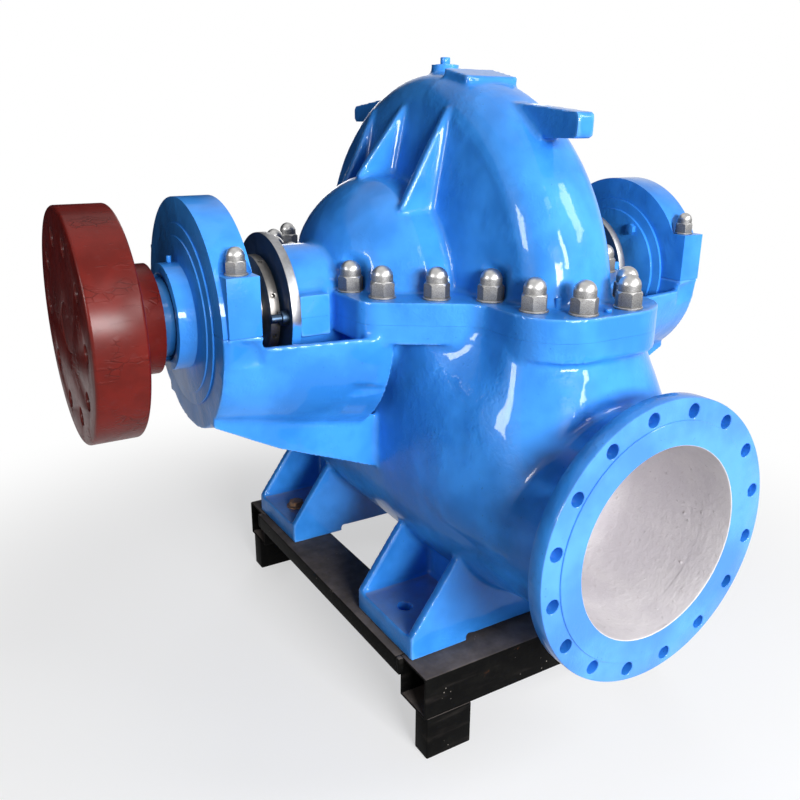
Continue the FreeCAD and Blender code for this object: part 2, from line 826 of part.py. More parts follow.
def foundation_bolt():
    top = foot_bottom_z + foot_plate_thickness
    shank = cylinder_z(foot_bottom_z, top, bolt_radius, -foot_hole_x, foot_hole_y)
    head = hexagon(bolt_across_flats, -foot_hole_x, foot_hole_y, top).extrude(V(0, 0, bolt_head_height))
    washer = cylinder_z(top, top + washer_thickness, bolt_washer_radius, -foot_hole_x, foot_hole_y)
    return fuse([shank, head, washer])


box_centre_x = (coupling_face_x + housing_outer_x + cover_thickness + cover_step_thickness) / 2
box_centre_y = (suction_face_y + discharge_face_y) / 2
floor_z = foot_bottom_z - beam_height - leg_height


def save(name, shape):
    placed = shape.copy()
    placed.translate(V(-box_centre_x, -box_centre_y, -floor_z))
    placed.exportStep("parts/" + name + ".step")


casting = lower_casing()
save("upper_casing", upper_casing())
save("lower_casing", cut_branch_bores(casting))
save("suction_branch", suction_branch())
save("discharge_branch", discharge_branch())
save("drive_bracket", bracket().cut(casting))
save("far_bracket", mirror_x(bracket()).cut(casting))
save("suction_feet", feet(-1).cut(casting))
save("discharge_feet", feet(1).cut(casting))
save("drive_bearing_cap", bearing_cap())
save("far_bearing_cap", mirror_x(bearing_cap()))
save("drive_bearing", bearing())
save("far_bearing", mirror_x(bearing()))
save("drive_cover", outer_cover())
save("far_cover", far_cover())
save("drive_inner_cover", inner_cover())
save("far_inner_cover", mirror_x(inner_cover()))
save("drive_cover_screws", cover_screws())
save("far_cover_screws", mirror_x(cover_screws()))
save("grease_nipple", grease_nipple())
save("drive_gland", gland())
save("far_gland", mirror_x(gland()))
save("drive_gland_bolts", gland_bolts())
save("far_gland_bolts", mirror_x(gland_bolts()))
save("casing_nuts", casing_nuts())
save("drive_cap_nuts", cap_nuts())
save("far_cap_nuts", mirror_x(cap_nuts()))
save("guide_pins", guide_pins())
save("vent_plug", vent_plug())
save("shaft", shaft())
save("shaft_sleeves", shaft_sleeves())
save("drive_sleeve_nut", sleeve_nut())
save("far_sleeve_nut", mirror_x(sleeve_nut()))
save("coupling_half", coupling_half())
save("suction_beam", beam_tube(-1))
save("discharge_beam", beam_tube(1))
save("drive_side_beam", side_beam(-1))
save("far_side_beam", side_beam(1))
save("leg_drive_suction", leg(-1, -1))
save("leg_far_suction", leg(1, -1))
save("leg_drive_discharge", leg(-1, 1))
save("leg_far_discharge", leg(1, 1))
save("foundation_bolt", foundation_bolt())
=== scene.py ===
"""Split case pump on a low steel frame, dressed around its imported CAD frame."""

import math
import random

import bpy
import numpy as np
from mathutils import Euler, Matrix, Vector


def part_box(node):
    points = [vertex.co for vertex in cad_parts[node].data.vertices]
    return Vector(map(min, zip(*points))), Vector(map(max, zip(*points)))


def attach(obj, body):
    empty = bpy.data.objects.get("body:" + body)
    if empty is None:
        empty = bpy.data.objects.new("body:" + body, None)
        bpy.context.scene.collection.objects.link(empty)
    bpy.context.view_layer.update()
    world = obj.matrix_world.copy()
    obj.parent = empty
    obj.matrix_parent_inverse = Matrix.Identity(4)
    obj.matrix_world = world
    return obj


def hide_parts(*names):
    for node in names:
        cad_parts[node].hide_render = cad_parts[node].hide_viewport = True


bl_info = {
    "name": "Split Case Pump",
    "version": (1, 0, 0),
    "blender": (4, 5, 0),
    "location": "3D View > Sidebar > Pump",
    "description": "Casts, machines and paints a split case pump around its CAD frame",
    "category": "Object",
}

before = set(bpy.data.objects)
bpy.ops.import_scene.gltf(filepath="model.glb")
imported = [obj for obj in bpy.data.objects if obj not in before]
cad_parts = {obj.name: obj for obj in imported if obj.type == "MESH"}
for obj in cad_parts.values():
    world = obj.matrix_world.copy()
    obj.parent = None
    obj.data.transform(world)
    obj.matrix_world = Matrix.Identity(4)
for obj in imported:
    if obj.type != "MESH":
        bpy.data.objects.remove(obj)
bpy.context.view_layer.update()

STILL = "pump_set"
TURNING = "rotor"
ENAMELLED = (STILL, "blue_enamel", "enamel")

# Places read from the frame, whose origin lies on the floor
shaft_low, shaft_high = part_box("shaft")
SHAFT_Y = (shaft_low.y + shaft_high.y) / 2
SHAFT_Z = (shaft_low.z + shaft_high.z) / 2
suction_low, suction_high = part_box("suction_branch")
casing_low, casing_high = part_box("upper_casing")
coupling_low, coupling_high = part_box("coupling_half")
MIDDLE_X = (casing_low.x + casing_high.x) / 2
BRANCH_Z = (suction_low.z + suction_high.z) / 2
SUCTION_FACE = suction_low.y
DISCHARGE_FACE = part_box("discharge_branch")[1].y
SPLIT_Z = casing_low.z
FLANGE_TOP = SPLIT_Z + 0.045
PIN_PLACE = (0.040, -0.476)


# Settings that a user would change


def length(name, note, default):
    return bpy.props.FloatProperty(name=name, description=note, default=default, unit="LENGTH")


def count(name, note, default):
    return bpy.props.IntProperty(name=name, description=note, default=default)


def tone(name, note, default):
    settings = {"size": 3, "subtype": "COLOR", "default": default}
    return bpy.props.FloatVectorProperty(name=name, description=note, **settings)


class PumpSizes(bpy.types.PropertyGroup):
    """Sizes that a user would change on the dressed pump"""

    cast_voxel: length("Casting grid", "Grain of the cast skins", 0.0042)
    quick_voxel: length("Quick casting grid", "Grain of the cast skins in quick runs", 0.008)
    fillet_passes: count("Fillet passes", "How far the inner corners of the castings fill up", 10)
    pocket_passes: count("Pocket passes", "How far the casing wall beside the nuts is smoothed", 18)
    skin_triangles: count("Skin triangles", "Most triangles of one cast skin", 180000)
    wave_height: length("Casting waviness", "Height of the cast surface's slow waves", 0.0016)
    nut_flats: length("Nut across flats", "Width of the dome nuts across their flats", 0.046)
    nut_height: length("Nut height", "Height of the dome nuts over their washers", 0.060)
    washer_radius: length("Washer radius", "Radius of the washers under the dome nuts", 0.0278)


class PumpColours(bpy.types.PropertyGroup):
    """Colours that a user would change on the dressed pump"""

    enamel: tone("Enamel", "Azure enamel of the castings", (0.038, 0.272, 0.80))
    flange_enamel: tone("Flange enamel", "Thinner enamel on the flange faces", (0.085, 0.290, 0.80))
    primer: tone("Bore lining", "Pale lining of the branch bores", (0.66, 0.63, 0.66))
    oxide: tone("Red oxide", "Red oxide paint of the coupling", (0.118, 0.0080, 0.0050))
    steel: tone("Steel", "Bare machined steel", (0.42, 0.40, 0.38))
    frame_paint: tone("Frame paint", "Black paint of the frame", (0.003, 0.003, 0.003))
    dust: tone("Dust", "Grey brown dust on the frame", (0.150, 0.128, 0.118))


def sizes():
    return bpy.context.scene.pump_sizes


# Shader maths


class Signal:
    """A node socket whose arithmetic adds Math nodes, so that a mask reads as an expression"""

    def __init__(self, paint, socket):
        self.paint = paint
        self.socket = socket

    def _with(self, operation, first, second):
        return self.paint.node("ShaderNodeMath", {"operation": operation}, {0: first, 1: second})

    def __add__(self, other):
        return self._with("ADD", self, other)

    def __radd__(self, other):
        return self._with("ADD", other, self)

    def __sub__(self, other):
        return self._with("SUBTRACT", self, other)

    def __rsub__(self, other):
        return self._with("SUBTRACT", other, self)

    def __mul__(self, other):
        return self._with("MULTIPLY", self, other)

    def __rmul__(self, other):
        return self._with("MULTIPLY", other, self)

    def least(self, other):
        return self._with("MINIMUM", self, other)

    def most(self, other):
        return self._with("MAXIMUM", self, other)

    def band(self, low, high):
        """0 below low, 1 above high, smooth between; low may be the larger"""
        settings = {"interpolation_type": "SMOOTHSTEP"}
        inputs = {"Value": self, "From Min": low, "From Max": high}
        return self.paint.node("ShaderNodeMapRange", settings, inputs)


class Paint:
    """A material in the making: one Principled shader and the nodes that feed it"""

    def __init__(self, name, **constants):
        self.material = bpy.data.materials.new(name)
        self.material.use_nodes = True
        self.tree = self.material.node_tree
        self.shader = self.tree.nodes["Principled BSDF"]
        self.feed(**constants)
        self.place = self.node("ShaderNodeTexCoord", {}, {}, "Object")
        self.normal = None

    def put(self, socket, value):
        if isinstance(value, Signal):
            self.tree.links.new(value.socket, socket)
        else:
            socket.default_value = value

    def feed(self, **values):
        """Puts values into the shader's sockets, whose spaces are underscores here"""
        for name, value in values.items():
            self.put(self.shader.inputs[name.replace("_", " ")], value)

    def node(self, kind, settings, inputs, output=0):
        made = self.tree.nodes.new(kind)
        for name, value in settings.items():
            setattr(made, name, value)
        for name, value in inputs.items():
            self.put(made.inputs[name], value)
        return Signal(self, made.outputs[output])

    def turned(self, **inputs):
        """The place in space after a Scale, Rotation or Location"""
        return self.node("ShaderNodeMapping", {}, {"Vector": self.place, **inputs})

    def noise(self, size, detail=2.0, roughness=0.5, vector=None, distortion=0.0):
        """Noise whose grains are about that size in metres"""
        inputs = {"Vector": vector or self.place, "Scale": 1 / size, "Detail": detail}
        inputs.update({"Roughness": roughness, "Distortion": distortion})
        return self.node("ShaderNodeTexNoise", {}, inputs, "Fac")

    def cells(self, size, feature="F1", vector=None):
        """Distance to the nearest of scattered points, or to the edges between them"""
        inputs = {"Vector": vector or self.place, "Scale": 1 / size}
        return self.node("ShaderNodeTexVoronoi", {"feature": feature}, inputs, "Distance")

    def axis(self, name):
        return self.node("ShaderNodeSeparateXYZ", {}, {"Vector": self.place}, name)

    def facing(self, name):
        geometry = self.node("ShaderNodeNewGeometry", {}, {}, "Normal")
        return self.node("ShaderNodeSeparateXYZ", {}, {"Vector": geometry}, name)

    def attribute(self, name):
        return self.node("ShaderNodeAttribute", {"attribute_name": name}, {}, "Fac")

    def mix(self, factor, first, second):
        """Mixes two colours; the node's colour sockets are 6 and 7, and 2 comes out"""
        inputs = {"Factor": factor, 6: self.colour(first), 7: self.colour(second)}
        return self.node("ShaderNodeMix", {"data_type": "RGBA"}, inputs, 2)

    def seen_rays(self):
        """1 for rays from the camera and for those that gloss and glass send on"""
        names = ("Is Camera Ray", "Is Glossy Ray", "Is Transmission Ray")
        camera, gloss, glass = [self.node("ShaderNodeLightPath", {}, {}, name) for name in names]
        return camera.most(gloss).most(glass)

    def blend(self, factor, first, second):
        made = self.tree.nodes.new("ShaderNodeMixShader")
        self.put(made.inputs["Fac"], factor)
        self.tree.links.new(first, made.inputs[1])
        self.tree.links.new(second, made.inputs[2])
        return made.outputs[0]

    def colour(self, value):
        return value if isinstance(value, Signal) else (*value[:3], 1)

    def dull_ends(self, coat):
        """Thins the gloss coat on the faces that look out of the drive end"""
        end = self.facing("X").band(-0.88, -0.98)
        self.feed(Coat_Weight=coat * (1 - 0.85 * end))

    def bump(self, height, distance, strength=1.0):
        """Adds relief of that depth in metres on top of what is there"""
        inputs = {"Height": height, "Distance": distance, "Strength": strength}
        if self.normal is not None:
            inputs["Normal"] = self.normal
        self.normal = self.node("ShaderNodeBump", {}, inputs)

    def finish(self, colour, roughness, metallic=0.0):
        self.feed(Base_Color=self.colour(colour), Roughness=roughness, Metallic=metallic)
        if self.normal is not None:
            self.feed(Normal=self.normal)
        return self.material


class WorldPaint(Paint):
    """The surroundings in the making: one Background shader and the nodes that feed it"""

    def __init__(self, world):
        self.tree = world.node_tree
        self.shader = self.tree.nodes["Background"]


def shade(colour, factor):
    return tuple(min(1.0, channel * factor) for channel in colour)


def towards(colour, target, share):
    return tuple(a + (b - a) * share for a, b in zip(colour, target))


# Materials


def enamel_paint(name, colour, hollows=False):
    """Thick brushed enamel over rough iron: slow waves, orange peel, brush marks, grit and faint streaks;
    on cast skins also painted shade in the hollows, painted highlights on the edges, and dust on low upward
    faces that is lightened as painted light
    """
    paint = Paint(name, Coat_Roughness=0.05, Specular_IOR_Level=0.08)
    paint.dull_ends(0.42)
    cloud = paint.noise(0.16, 3.0, 0.55)
    patch = paint.noise(0.045, 3.0, 0.6)
    streak = paint.noise(0.012, 3.0, 0.55, paint.turned(Scale=(1.0, 1.0, 0.16)))
    peel = paint.noise(0.0042, 2.0, 0.5)
    lump = paint.noise(0.022, 2.0, 0.5)
    wave = paint.noise(0.060, 1.0, 0.4)
    grit = paint.cells(0.011)
    deep = towards(shade(colour, 0.86), (0.008, 0.14, 0.55), 0.25)
    light = towards(shade(colour, 1.10), (0.07, 0.34, 0.88), 0.22)
    base = paint.mix(cloud.band(0.36, 0.66), deep, light)
    base = paint.mix(patch.band(0.50, 0.74) * 0.30, base, towards(colour, (0.01, 0.16, 0.64), 0.6))
    base = paint.mix(streak.band(0.56, 0.76) * 0.18, base, light)
    speck = grit.band(0.16, 0.07) * paint.noise(0.05, 1.0).band(0.60, 0.66)
    base = paint.mix(speck * 0.5, base, shade(colour, 0.35))
    rough = 0.22 + 0.12 * patch + 0.06 * streak
    if hollows:
        hollow = paint.attribute("hollow")
        edge = paint.attribute("edge")
        # Painted shade: the enamel turns darker in the skin's hollows, where shade falls
        base = paint.mix(hollow.band(0.25, 0.95) * 0.28, base, shade(deep, 0.62))
        # Painted highlight: a lighter blue along the skin's convex edges
        base = paint.mix(edge.band(0.45, 1.0) * 0.40, base, towards(light, (0.30, 0.58, 1.0), 0.45))
        rough = rough + hollow.band(0.3, 1.0) * 0.06
        # Grey dust on the low faces that look up, lighter than the dust alone: partly dust, partly painted
        # light in the shade under the body
        low = paint.axis("Z").band(0.40, 0.30) * paint.facing("Z").band(0.80, 0.95)
        base = paint.mix(low * (0.35 + 0.5 * patch), base, (0.17, 0.17, 0.20))
    wet = paint.noise(0.11, 2.0, 0.5, paint.turned(Location=(0.4, 0.1, 0.7))).band(0.44, 0.60)
    paint.bump(wave, 0.0030, 0.30)
    paint.bump(lump * (0.35 + 0.65 * wet), 0.0016, 0.60)
    ripple = paint.noise(0.0085, 2.0, 0.5, distortion=0.6)
    paint.bump(ripple * wet, 0.0012, 0.75)
    paint.bump(peel, 0.00025, 0.55)
    paint.bump(streak, 0.0004, 0.30)
    paint.bump(grit.band(0.22, 0.02) * paint.noise(0.07, 1.0).band(0.58, 0.68), 0.0007, 0.7)
    return paint.finish(base, rough)


def lining_paint(name, colour):
    """Pale primer over coarse cast iron inside the branch bores"""
    paint = Paint(name, Coat_Weight=0.04, Coat_Roughness=0.30, Specular_IOR_Level=0.35)
    cloud = paint.noise(0.10, 4.0, 0.6)
    coarse = paint.noise(0.013, 4.0, 0.62)
    knots = paint.cells(0.017)
    fine = paint.noise(0.003, 2.0)
    base = paint.mix(cloud.band(0.35, 0.68), shade(colour, 0.92), towards(colour, (0.68, 0.66, 0.66), 0.5))
    base = paint.mix(coarse.band(0.58, 0.74) * 0.35, base, (0.46, 0.40, 0.40))
    paint.bump(coarse, 0.0026, 0.6)
    paint.bump(knots.band(0.30, 0.05) * coarse.band(0.54, 0.66), 0.0022, 0.6)
    paint.bump(fine, 0.0005, 0.5)
    return paint.finish(base, 0.42 + 0.16 * coarse)


def oxide_paint(name, colour):
    """Dark red oxide paint with scratches, crazing and bruises over iron"""
    paint = Paint(name, Coat_Roughness=0.26, Specular_IOR_Level=0.05)
    paint.dull_ends(0.27)
    cloud = paint.noise(0.09, 3.0, 0.6)
    patch = paint.noise(0.020, 3.0, 0.6)
    scratch = paint.noise(0.010, 3.0, 0.6, paint.turned(Scale=(0.22, 1.0, 1.0), Rotation=(0.3, 0.5, 0.2)))
    crack = paint.cells(0.012, "DISTANCE_TO_EDGE", paint.turned(Scale=(0.5, 1.0, 1.0)))
    peel = paint.noise(0.004, 2.0)
    base = paint.mix(cloud.band(0.35, 0.65), shade(colour, 0.82), shade(colour, 1.15))
    base = paint.mix(patch.band(0.58, 0.74) * 0.5, base, towards(colour, (0.10, 0.02, 0.02), 0.6))
    crazed = paint.noise(0.07, 1.0, 0.5, paint.turned(Location=(0.31, 0.2, 0.0))).band(0.54, 0.62)
    base = paint.mix(crack.band(0.05, 0.0) * crazed * 0.5, base, shade(colour, 0.4))
    base = paint.mix(scratch.band(0.72, 0.78) * 0.20, base, (0.26, 0.07, 0.06))
    paint.bump(patch, 0.0008, 0.25)
    paint.bump(scratch.band(0.60, 0.70), 0.0009, 0.8)
    paint.bump(crack.band(0.0, 0.09) * crazed, 0.0012, 0.9)
    paint.bump(peel, 0.0002, 0.4)
    return paint.finish(base, 0.30 + 0.16 * patch)


def turned_steel(name, colour, roughness=0.28, across=(1, 1, 1), tarnish=0.25):
    """Turned or ground steel with fine tool marks and a little tarnish"""
    paint = Paint(name)
    marks = paint.noise(0.0010, 2.0, 0.5, paint.turned(Scale=across))
    cloud = paint.noise(0.03, 3.0, 0.6)
    spots = paint.noise(0.006, 3.0, 0.65)
    base = paint.mix(cloud.band(0.35, 0.7) * tarnish, colour, shade(colour, 0.45))
    base = paint.mix(spots.band(0.64, 0.74) * 0.5, base, (0.16, 0.12, 0.10))
    base = paint.mix(marks.band(0.4, 0.7) * 0.25, base, shade(colour, 1.25))
    paint.bump(marks, 0.00012, 0.5)
    return paint.finish(base, roughness + 0.16 * cloud + 0.10 * spots.band(0.6, 0.75), 1.0)


def nut_steel(name, colour):
    """Satin stainless: smooth domes and grainy flats with blast texture; the sideways faces, the flats and
    the dome's lower rim, are painted darker as painted shade
    """
    paint = Paint(name)
    grain = paint.noise(0.0016, 3.0, 0.6)
    cloud = paint.noise(0.02, 2.0)
    pits = paint.cells(0.0028)
    # Painted shade: the faces that look sideways get a darker steel tone than those that look up
    flat = 1 - paint.facing("Z").band(0.08, 0.30)
    tone = paint.mix(flat, colour, shade(colour, 0.55))
    base = paint.mix(grain.band(0.42, 0.62) * flat * 0.70, tone, shade(colour, 0.22))
    base = paint.mix(cloud.band(0.5, 0.8) * 0.25, base, shade(colour, 0.6))
    paint.bump(grain * flat, 0.0004, 0.8)
    paint.bump(pits.band(0.3, 0.1) * flat, 0.0003, 0.5)
    return paint.finish(base, 0.30 + 0.22 * flat + 0.10 * cloud, 1.0)


def gland_finish(name, steel, enamel):
    """A gland's dark end face, its turned rim and the enamel that runs over the lower rim"""
    paint = Paint(name, Specular_IOR_Level=0.20)
    cloud = paint.noise(0.02, 3.0, 0.6)
    marks = paint.noise(0.0010, 2.0, 0.5, paint.turned(Scale=(1.0, 0.08, 0.08)))
    rim = 1 - paint.facing("X").band(0.45, 0.70).most(paint.facing("X").band(-0.45, -0.70))
    bare = rim * (paint.axis("Z") + 0.03 * cloud).band(SHAFT_Z - 0.005, SHAFT_Z + 0.012)
    metal = paint.mix(cloud.band(0.3, 0.7) * 0.5, steel, shade(steel, 0.5))
    dark = paint.mix(cloud, (0.010, 0.020, 0.038), (0.018, 0.040, 0.080))
    base = paint.mix(rim, dark, enamel)
    base = paint.mix(bare, base, metal)
    paint.bump(marks * bare, 0.00012, 0.5)
    paint.bump(cloud, 0.0006, 0.4)
    return paint.finish(base, 0.32 + 0.14 * cloud, bare)


def frame_paint(name, colour, dust):
    """Black paint with dust lying on what faces up, dust streaks down the sides, chalky specks and a little
    rust
    """
    paint = Paint(name, Specular_IOR_Level=0.03)
    cloud = paint.noise(0.12, 4.0, 0.62)
    patch = paint.noise(0.03, 4.0, 0.65)
    streak = paint.noise(0.02, 3.0, 0.6, paint.turned(Scale=(0.15, 1.0, 1.0)))
    speck = paint.cells(0.013)
    upward = paint.facing("Z").band(0.55, 0.95)
    base = paint.mix(patch.band(0.40, 0.75) * 0.6, colour, (0.008, 0.008, 0.007))
    dusty = upward * (0.62 + 0.38 * cloud.band(0.35, 0.7))
    base = paint.mix(dusty, base, paint.mix(patch, shade(dust, 0.75), shade(dust, 1.15)))
    smear = (1 - upward) * streak.band(0.52, 0.80) * 0.16
    base = paint.mix(smear, base, shade(dust, 0.55))
    rust = patch.band(0.66, 0.76) * cloud.band(0.52, 0.66)
    base = paint.mix(rust * 0.7, base, (0.13, 0.045, 0.018))
    chalk = speck.band(0.13, 0.06) * paint.noise(0.06, 1.0).band(0.60, 0.66)
    base = paint.mix(chalk * 0.7, base, (0.42, 0.38, 0.34))
    paint.bump(patch, 0.0010, 0.4)
    paint.bump(paint.noise(0.004, 3.0), 0.0003, 0.5)
    rough = 0.52 + 0.34 * upward + 0.12 * patch
    return paint.finish(base, rough.least(0.95))


def rusted_bolt(name):
    paint = Paint(name)
    patch = paint.noise(0.008, 4.0, 0.65)
    base = paint.mix(patch.band(0.35, 0.65), (0.24, 0.13, 0.07), (0.07, 0.055, 0.05))
    paint.bump(patch, 0.0008, 0.6)
    return paint.finish(base, 0.55 + 0.25 * patch, patch.band(0.75, 0.35))


MATERIALS = {}


def make_materials():
    """Makes each look with its recipe and what that takes after the name"""
    tones = bpy.context.scene.pump_colours
    recipes = {
        "cast_enamel": (enamel_paint, tones.enamel, True),
        "enamel": (enamel_paint, tones.enamel),
        # A darker copy of the enamel, painted shade for the shaft deflector
        "navy_enamel": (enamel_paint, shade(tones.enamel, 0.14)),
        "flange_enamel": (enamel_paint, tones.flange_enamel),
        "lining": (lining_paint, tones.primer),
        "red_oxide": (oxide_paint, tones.oxide),
        "turned_steel": (turned_steel, tones.steel, 0.24, (1.0, 0.08, 0.08)),
        "dark_steel": (turned_steel, shade(tones.steel, 0.45), 0.34, (1.0, 0.1, 0.1), 0.6),
        "gland": (gland_finish, (0.34, 0.34, 0.35), tones.enamel),
        "blued_steel": (turned_steel, (0.045, 0.075, 0.12), 0.34, (1.0, 0.1, 0.1), 0.4),
        "nut_steel": (nut_steel, (0.44, 0.435, 0.43)),
        "frame_black": (frame_paint, tones.frame_paint, tones.dust),
        "rusty_bolt": (rusted_bolt,),
    }
    for name, (recipe, *settings) in recipes.items():
        MATERIALS[name] = recipe(name, *settings)


# Modelling helpers


def pick(*pieces):
    bpy.ops.object.select_all(action="DESELECT")
    for piece in pieces:
        piece.select_set(True)
    bpy.context.view_layer.objects.active = pieces[0]


def apply(piece, kind, **settings):
    """Adds one modifier, sets it and applies it"""
    pick(piece)
    bpy.ops.object.modifier_add(type=kind)
    modifier = piece.modifiers[-1]
    for name, value in settings.items():
        setattr(modifier, name, value)
    bpy.ops.object.modifier_apply(modifier=modifier.name)


def edit(piece):
    pick(piece)
    bpy.ops.object.mode_set(mode="EDIT")
    bpy.ops.mesh.select_all(action="SELECT")


def done():
    bpy.ops.object.mode_set(mode="OBJECT")


def settle(piece):
    """Puts a piece's place, turn and scale into its mesh"""
    pick(piece)
    bpy.ops.object.transform_apply(location=True, rotation=True, scale=True)


def join(name, pieces):
    pick(*pieces)
    if len(pieces) > 1:
        bpy.ops.object.join()
    piece = bpy.context.object
    piece.name = name
    piece.data.name = name
    return piece


def smooth(piece, angle=30):
    pick(piece)
    bpy.ops.object.shade_smooth_by_angle(angle=math.radians(angle))


def wear(piece, *names):
    piece.data.materials.clear()
    for name in names:
        piece.data.materials.append(MATERIALS[name])


def copy_of(name, *nodes):
    """A merged copy of CAD nodes as one new piece"""
    copies = []
    for node in nodes:
        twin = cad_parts[node].copy()
        twin.data = twin.data.copy()
        for key in list(twin.keys()):
            del twin[key]
        twin.parent = None
        bpy.context.scene.collection.objects.link(twin)
        copies.append(twin)
    piece = join(name, copies)
    edit(piece)
    bpy.ops.mesh.remove_doubles(threshold=1e-5)
    done()
    return piece


def seat(piece, body, slot, *replaced):
    """Gives a finished piece its body and the CAD nodes that it stands for; the slot is not used"""
    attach(piece, body)
    if replaced:
        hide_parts(*replaced)


def dress(piece, body, slot, look, *replaced, angle=30):
    """Smooths a machined piece up to that angle, paints it and gives it its body"""
    smooth(piece, angle)
    wear(piece, look)
    seat(piece, body, slot, *replaced)


def machined_copy(name, body, slot, look, node, edge=0.0015, segments=2):
    """A copy of a CAD node with flat faces joined up and sharp edges broken"""
    piece = copy_of(name, node)
    edit(piece)
    bpy.ops.mesh.dissolve_limited(angle_limit=math.radians(0.6))
    done()
    apply(piece, "BEVEL", width=edge, segments=segments, limit_method="ANGLE", angle_limit=math.radians(35))
    dress(piece, body, slot, look, node, angle=32)
    return piece


# Cast skins


WEIGHT_LEVELS = 8
STEEPEST_STEP = 0.3
FULL_HOLLOW = 0.05
FULL_EDGE = 0.12
NUT_REACH = 0.064
NUT_FADE = 0.020
WALL_FOOT = 0.004
WALL_FOOT_FADE = 0.010
WALL_TOP = 0.110


def neighbour_step(points, edges, counts):
    """Mean of each point's neighbours, less the point"""
    total = np.empty_like(points)
    for k in range(points.shape[1]):
        forward = np.bincount(edges[:, 0], weights=points[edges[:, 1], k], minlength=len(points))
        backward = np.bincount(edges[:, 1], weights=points[edges[:, 0], k], minlength=len(points))
        total[:, k] = forward + backward
    return total / counts[:, None] - points


def spread(values, edges, counts, passes):
    column = values[:, None].copy()
    for _ in range(passes):
        column += neighbour_step(column, edges, counts)
    return column[:, 0]


def read_mesh(piece):
    mesh = piece.data
    points = np.empty(len(mesh.vertices) * 3)
    mesh.vertices.foreach_get("co", points)
    normals = np.empty(len(mesh.vertices) * 3)
    mesh.vertex_normals.foreach_get("vector", normals)
    edges = np.empty(len(mesh.edges) * 2, dtype=np.int64)
    mesh.edges.foreach_get("vertices", edges)
    points = points.reshape(-1, 3)
    edges = edges.reshape(-1, 2)
    counts = np.bincount(edges.ravel(), minlength=len(points)).clip(1)
    return points, normals.reshape(-1, 3), edges, counts


def corners(piece, size, reach):
    """How hollow and how sharp each point of a skin is, from 0 to 1"""
    points, normals, edges, counts = read_mesh(piece)
    lift = (neighbour_step(points, edges, counts) * normals).sum(axis=1) / size
    hollow = spread(lift.clip(0, STEEPEST_STEP), edges, counts, reach)
    edge = spread((-lift).clip(0, STEEPEST_STEP), edges, counts, 2)
    return (hollow / FULL_HOLLOW).clip(0, 1), (edge / FULL_EDGE).clip(0, 1)


def smooth_where(piece, weight, passes):
    """Smooths a skin as far as its points' weights, from 0 to 1, say"""
    group = piece.vertex_groups.new(name="weight")
    levels = np.round(weight * WEIGHT_LEVELS).astype(int)
    for level in range(1, WEIGHT_LEVELS + 1):
        chosen = np.nonzero(levels == level)[0]
        if len(chosen):
            group.add(chosen.tolist(), level / WEIGHT_LEVELS, "REPLACE")
    apply(piece, "SMOOTH", factor=0.5, iterations=passes, vertex_group="weight")
    piece.vertex_groups.clear()


def beside_nuts(piece):
    """How near each point of the casing wall lies to a flange nut, above the flange"""
    points = read_mesh(piece)[0]
    weight = np.zeros(len(points))
    for low, high in islands("casing_nuts"):
        distance = np.hypot(points[:, 0] - (low.x + high.x) / 2, points[:, 1] - (low.y + high.y) / 2)
        weight = np.maximum(weight, ((NUT_REACH - distance) / NUT_FADE).clip(0, 1))
    weight *= ((points[:, 2] - FLANGE_TOP - WALL_FOOT) / WALL_FOOT_FADE).clip(0, 1)
    return weight * ((FLANGE_TOP + WALL_TOP - points[:, 2]) / NUT_FADE).clip(0, 1)


def cloud_texture(name, size):
    texture = bpy.data.textures.new(name, "CLOUDS")
    texture.noise_scale = size
    texture.noise_depth = 1
    return texture


def cast_skin(piece):
    """Turns joined solids into one cast skin with fillets, soft edges and slow waves"""
    size = sizes().cast_voxel
    apply(piece, "REMESH", mode="VOXEL", voxel_size=size, use_smooth_shade=True)
    growth = (sizes().quick_voxel / size) ** 2
    smooth_where(piece, corners(piece, size, 5)[0], int(sizes().fillet_passes * growth))
    smooth_where(piece, beside_nuts(piece), int(sizes().pocket_passes * growth))
    apply(piece, "SMOOTH", factor=0.5, iterations=1)
    waves = cloud_texture("casting_waves", 0.075)
    apply(piece, "DISPLACE", texture=waves, strength=sizes().wave_height, texture_coords="LOCAL")
    # The hollow and edge attributes feed the cast enamel's painted shade in the hollows, its painted
    # highlights on the edges, and its roughness
    for name, values in zip(("hollow", "edge"), corners(piece, size, 3)):
        attribute = piece.data.attributes.new(name, "FLOAT", "POINT")
        attribute.data.foreach_set("value", values.astype(np.float32))


def thin_out(piece):
    """Keeps a skin under the most triangles that it may have"""
    triangles = sum(len(polygon.vertices) - 2 for polygon in piece.data.polygons)
    if triangles > sizes().skin_triangles:
        apply(piece, "DECIMATE", ratio=sizes().skin_triangles / triangles)
    smooth(piece, 42)


def cut_flat(piece, point, normal):
    """Cuts a closed mesh at a plane, drops what lies beyond it and closes the cut"""
    edit(piece)
    bpy.ops.mesh.bisect(plane_co=point, plane_no=normal, use_fill=True, clear_outer=True)
    done()


def line_bores(piece):
    """Gives the faces inside the two branch bores the pale lining"""
    mesh = piece.data
    for polygon in mesh.polygons:
        centre = polygon.center
        across = math.hypot(centre.x - MIDDLE_X, centre.z - BRANCH_Z)
        radius = (SUCTION_BORE if centre.y < SHAFT_Y else DISCHARGE_BORE) + LINING_REACH
        deep = centre.y < SHAFT_Y - SUCTION_NECK or centre.y > SHAFT_Y + DISCHARGE_NECK
        inward = (MIDDLE_X - centre.x) * polygon.normal.x + (BRANCH_Z - centre.z) * polygon.normal.z
        along = (SHAFT_Y - centre.y) * polygon.normal.y
        if deep and across < radius and (inward > 0 or along < 0):
            polygon.material_index = 1


JOINT_GAP = 0.0003
SEAT_HALF_WIDTH = 0.246
SEAT_ROOT_HALF_WIDTH = 0.233
